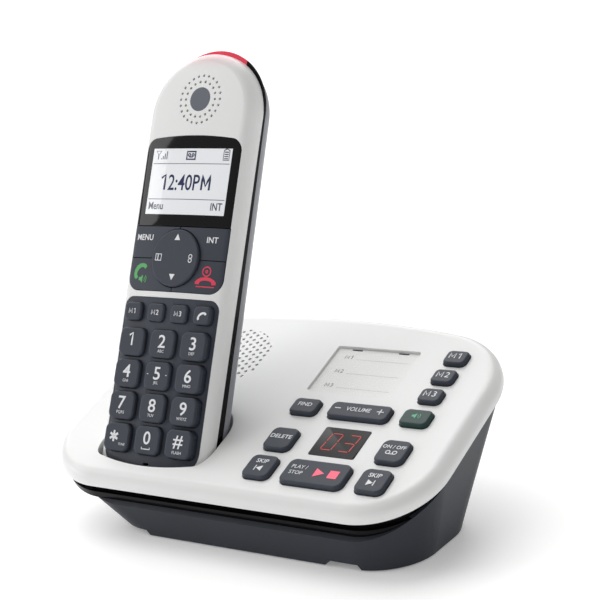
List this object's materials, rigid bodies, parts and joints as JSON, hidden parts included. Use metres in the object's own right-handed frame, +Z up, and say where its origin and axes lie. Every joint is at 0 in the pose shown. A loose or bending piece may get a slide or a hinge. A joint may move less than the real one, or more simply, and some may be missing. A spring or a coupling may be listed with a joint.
{
  "type": "cordless telephone with base",
  "caption": "Cordless phone handset standing in a sloping answering-machine base with keys, a small display and an index card window.",
  "frame": {"origin": "on the table under the middle of the base", "axes": "+Z up, key deck faces -Y, sockets face +Y, handset on the -X side"},
  "size_m": [0.168, 0.0996, 0.1669],
  "materials": {
    "white_shell": "satin moulded white",
    "slate_housing": "fine-textured slate grey",
    "black_trim": "polished black",
    "key_rubber": "soft-touch slate grey",
    "green_key": "translucent green-grey",
    "grey_back": "satin mid grey",
    "screen_glass": "polished black window",
    "smoked_window": "smoked window",
    "clear_cover": "clear sheet",
    "red_light": "translucent red",
    "card": "printed card",
    "foot_rubber": "black rubber",
    "screw_steel": "plated",
    "contact_metal": "plated spring contact",
    "board": "soldered board",
    "inner_rubber": "grey silicone",
    "module": "moulded module",
    "socket_black": "moulded socket",
    "cell_jacket": "shrink sleeve",
    "speaker_cone": "coated cone in a frame"
  },
  "bodies": {
    "base": {"base_top_shell": "white_shell", "trim_band": "black_trim", "base_bottom_housing": "slate_housing", "base_feet": "foot_rubber", "base_screws": "screw_steel", "base_circuit_board": "board", "loudspeaker": "speaker_cone", "display_window": "smoked_window", "display_module": "module", "index_card": "card", "card_cover": "clear_cover", "base_key_mat": "inner_rubber", "charge_contacts": "contact_metal", "power_jack": "socket_black", "line_jack": "socket_black"},
    "handset": {"handset_front_shell": "white_shell", "handset_back_shell": "grey_back", "handset_band": "black_trim", "light_lens": "red_light", "screen_lens": "screen_glass", "lcd_module": "module", "earpiece": "speaker_cone", "keypad_panel": "key_rubber", "handset_circuit_board": "board", "battery_cells": "cell_jacket", "handset_screws": "screw_steel", "charge_pads": "contact_metal"},
    "battery_cover": {"battery_door": "grey_back"},
    "key_m1_body": {"key_m1": "key_rubber"},
    "key_m2_body": {"key_m2": "key_rubber"},
    "key_m3_body": {"key_m3": "key_rubber"},
    "key_find_body": {"key_find": "key_rubber"},
    "key_speaker_body": {"key_speaker": "green_key"},
    "key_delete_body": {"key_delete": "key_rubber"},
    "key_on_off_body": {"key_on_off": "key_rubber"},
    "key_skip_back_body": {"key_skip_back": "key_rubber"},
    "key_play_stop_body": {"key_play_stop": "key_rubber"},
    "key_skip_forward_body": {"key_skip_forward": "key_rubber"},
    "key_1_body": {"key_1": "key_rubber"},
    "key_2_body": {"key_2": "key_rubber"},
    "key_3_body": {"key_3": "key_rubber"},
    "key_4_body": {"key_4": "key_rubber"},
    "key_5_body": {"key_5": "key_rubber"},
    "key_6_body": {"key_6": "key_rubber"},
    "key_7_body": {"key_7": "key_rubber"},
    "key_8_body": {"key_8": "key_rubber"},
    "key_9_body": {"key_9": "key_rubber"},
    "key_star_body": {"key_star": "key_rubber"},
    "key_0_body": {"key_0": "key_rubber"},
    "key_hash_body": {"key_hash": "key_rubber"},
    "key_memory_1_body": {"key_memory_1": "key_rubber"},
    "key_memory_2_body": {"key_memory_2": "key_rubber"},
    "key_memory_3_body": {"key_memory_3": "key_rubber"},
    "key_redial_body": {"key_redial": "key_rubber"},
    "key_menu_body": {"key_menu": "key_rubber"},
    "key_intercom_body": {"key_intercom": "key_rubber"},
    "key_talk_body": {"key_talk": "key_rubber"},
    "key_end_body": {"key_end": "key_rubber"},
    "key_volume_body": {"key_volume": "key_rubber"},
    "nav_pad_body": {"nav_pad": "key_rubber"}
  },
  "joints": [
    {"name": "handset_lift", "type": "slide", "parent": "base", "child": "handset", "axis": [0, 0.4524, 0.8918], "range_m": [0, 0.06]},
    {"name": "battery_door_lift", "type": "slide", "parent": "handset", "child": "battery_cover", "axis": [0, 0.8918, -0.4524], "range_m": [0, 0.008]},
    {"name": "key_m1_press", "type": "slide", "parent": "base", "child": "key_m1_body", "axis": [0, 0.3387, -0.9409], "range_m": [0, 0.0008], "stiffness_N_per_m": 1200, "springref_m": -0.0002},
    {"name": "key_m2_press", "type": "slide", "parent": "base", "child": "key_m2_body", "axis": [0, 0.3387, -0.9409], "range_m": [0, 0.0008], "stiffness_N_per_m": 1200, "springref_m": -0.0002},
    {"name": "key_m3_press", "type": "slide", "parent": "base", "child": "key_m3_body", "axis": [0, 0.3387, -0.9409], "range_m": [0, 0.0008], "stiffness_N_per_m": 1200, "springref_m": -0.0002},
    {"name": "key_find_press", "type": "slide", "parent": "base", "child": "key_find_body", "axis": [0, 0.3387, -0.9409], "range_m": [0, 0.0008], "stiffness_N_per_m": 1200, "springref_m": -0.0002},
    {"name": "key_speaker_press", "type": "slide", "parent": "base", "child": "key_speaker_body", "axis": [0, 0.3387, -0.9409], "range_m": [0, 0.0008], "stiffness_N_per_m": 1200, "springref_m": -0.0002},
    {"name": "key_delete_press", "type": "slide", "parent": "base", "child": "key_delete_body", "axis": [0, 0.3387, -0.9409], "range_m": [0, 0.0008], "stiffness_N_per_m": 1200, "springref_m": -0.0002},
    {"name": "key_on_off_press", "type": "slide", "parent": "base", "child": "key_on_off_body", "axis": [0, 0.3387, -0.9409], "range_m": [0, 0.0008], "stiffness_N_per_m": 1200, "springref_m": -0.0002},
    {"name": "key_skip_back_press", "type": "slide", "parent": "base", "child": "key_skip_back_body", "axis": [0, 0.3387, -0.9409], "range_m": [0, 0.0008], "stiffness_N_per_m": 1200, "springref_m": -0.0002},
    {"name": "key_play_stop_press", "type": "slide", "parent": "base", "child": "key_play_stop_body", "axis": [0, 0.3387, -0.9409], "range_m": [0, 0.0008], "stiffness_N_per_m": 1200, "springref_m": -0.0002},
    {"name": "key_skip_forward_press", "type": "slide", "parent": "base", "child": "key_skip_forward_body", "axis": [0, 0.3387, -0.9409], "range_m": [0, 0.0008], "stiffness_N_per_m": 1200, "springref_m": -0.0002},
    {"name": "key_1_press", "type": "slide", "parent": "handset", "child": "key_1_body", "axis": [0, 0.8918, -0.4524], "range_m": [0, 0.0006], "stiffness_N_per_m": 1500, "springref_m": -0.0002},
    {"name": "key_2_press", "type": "slide", "parent": "handset", "child": "key_2_body", "axis": [0, 0.8918, -0.4524], "range_m": [0, 0.0006], "stiffness_N_per_m": 1500, "springref_m": -0.0002},
    {"name": "key_3_press", "type": "slide", "parent": "handset", "child": "key_3_body", "axis": [0, 0.8918, -0.4524], "range_m": [0, 0.0006], "stiffness_N_per_m": 1500, "springref_m": -0.0002},
    {"name": "key_4_press", "type": "slide", "parent": "handset", "child": "key_4_body", "axis": [0, 0.8918, -0.4524], "range_m": [0, 0.0006], "stiffness_N_per_m": 1500, "springref_m": -0.0002},
    {"name": "key_5_press", "type": "slide", "parent": "handset", "child": "key_5_body", "axis": [0, 0.8918, -0.4524], "range_m": [0, 0.0006], "stiffness_N_per_m": 1500, "springref_m": -0.0002},
    {"name": "key_6_press", "type": "slide", "parent": "handset", "child": "key_6_body", "axis": [0, 0.8918, -0.4524], "range_m": [0, 0.0006], "stiffness_N_per_m": 1500, "springref_m": -0.0002},
    {"name": "key_7_press", "type": "slide", "parent": "handset", "child": "key_7_body", "axis": [0, 0.8918, -0.4524], "range_m": [0, 0.0006], "stiffness_N_per_m": 1500, "springref_m": -0.0002},
    {"name": "key_8_press", "type": "slide", "parent": "handset", "child": "key_8_body", "axis": [0, 0.8918, -0.4524], "range_m": [0, 0.0006], "stiffness_N_per_m": 1500, "springref_m": -0.0002},
    {"name": "key_9_press", "type": "slide", "parent": "handset", "child": "key_9_body", "axis": [0, 0.8918, -0.4524], "range_m": [0, 0.0006], "stiffness_N_per_m": 1500, "springref_m": -0.0002},
    {"name": "key_star_press", "type": "slide", "parent": "handset", "child": "key_star_body", "axis": [0, 0.8918, -0.4524], "range_m": [0, 0.0006], "stiffness_N_per_m": 1500, "springref_m": -0.0002},
    {"name": "key_0_press", "type": "slide", "parent": "handset", "child": "key_0_body", "axis": [0, 0.8918, -0.4524], "range_m": [0, 0.0006], "stiffness_N_per_m": 1500, "springref_m": -0.0002},
    {"name": "key_hash_press", "type": "slide", "parent": "handset", "child": "key_hash_body", "axis": [0, 0.8918, -0.4524], "range_m": [0, 0.0006], "stiffness_N_per_m": 1500, "springref_m": -0.0002},
    {"name": "key_memory_1_press", "type": "slide", "parent": "handset", "child": "key_memory_1_body", "axis": [0, 0.8918, -0.4524], "range_m": [0, 0.0006], "stiffness_N_per_m": 1500, "springref_m": -0.0002},
    {"name": "key_memory_2_press", "type": "slide", "parent": "handset", "child": "key_memory_2_body", "axis": [0, 0.8918, -0.4524], "range_m": [0, 0.0006], "stiffness_N_per_m": 1500, "springref_m": -0.0002},
    {"name": "key_memory_3_press", "type": "slide", "parent": "handset", "child": "key_memory_3_body", "axis": [0, 0.8918, -0.4524], "range_m": [0, 0.0006], "stiffness_N_per_m": 1500, "springref_m": -0.0002},
    {"name": "key_redial_press", "type": "slide", "parent": "handset", "child": "key_redial_body", "axis": [0, 0.8918, -0.4524], "range_m": [0, 0.0006], "stiffness_N_per_m": 1500, "springref_m": -0.0002},
    {"name": "key_menu_press", "type": "slide", "parent": "handset", "child": "key_menu_body", "axis": [0, 0.8918, -0.4524], "range_m": [0, 0.0006], "stiffness_N_per_m": 1500, "springref_m": -0.0002},
    {"name": "key_intercom_press", "type": "slide", "parent": "handset", "child": "key_intercom_body", "axis": [0, 0.8918, -0.4524], "range_m": [0, 0.0006], "stiffness_N_per_m": 1500, "springref_m": -0.0002},
    {"name": "key_talk_press", "type": "slide", "parent": "handset", "child": "key_talk_body", "axis": [0, 0.8918, -0.4524], "range_m": [0, 0.0006], "stiffness_N_per_m": 1500, "springref_m": -0.0002},
    {"name": "key_end_press", "type": "slide", "parent": "handset", "child": "key_end_body", "axis": [0, 0.8918, -0.4524], "range_m": [0, 0.0006], "stiffness_N_per_m": 1500, "springref_m": -0.0002},
    {"name": "key_volume_rock", "type": "hinge", "parent": "base", "child": "key_volume_body", "pos_m": [0.0393, -0.00473, 0.03944], "axis": [0, 0.9409, 0.3387], "range_deg": [-2, 2], "stiffness_Nm_per_rad": 0.4},
    {"name": "nav_pad_rock", "type": "hinge", "parent": "handset", "child": "nav_pad_body", "pos_m": [-0.0348, -0.00468, 0.09534], "axis": [1, 0, 0], "range_deg": [-3, 3], "stiffness_Nm_per_rad": 0.3}
  ]
}
